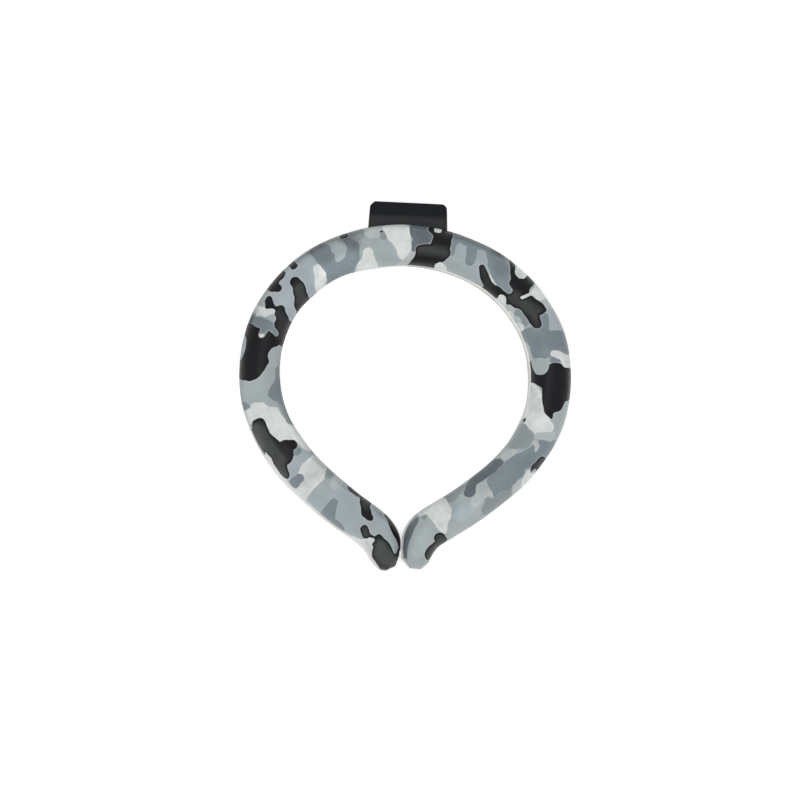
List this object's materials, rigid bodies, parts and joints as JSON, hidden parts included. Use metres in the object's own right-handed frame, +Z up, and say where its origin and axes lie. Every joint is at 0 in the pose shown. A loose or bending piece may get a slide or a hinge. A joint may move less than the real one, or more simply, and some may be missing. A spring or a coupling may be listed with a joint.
{
  "type": "cooling neck ring",
  "caption": "Open ring of sealed film tube with a solid cooling filling, sprung round the neck, with a small tab at the nape.",
  "frame": {"origin": "middle of the whole box in plan, on the surface that the ring lies on", "axes": "+Z up out of the surface, +Y towards the nape and its tab, +X to the right seen from above with the nape away from the eye"},
  "size_m": [0.16, 0.1764, 0.019],
  "materials": {
    "printed_film": "satin polyurethane film, printed with grey camouflage",
    "cooling_filling": "waxy solid",
    "black_tab": "matt moulded"
  },
  "bodies": {
    "root": {"upper_skin": "printed_film", "lower_skin": "printed_film", "cooling_filling": "cooling_filling", "back_tag": "black_tab"}
  },
  "joints": []
}
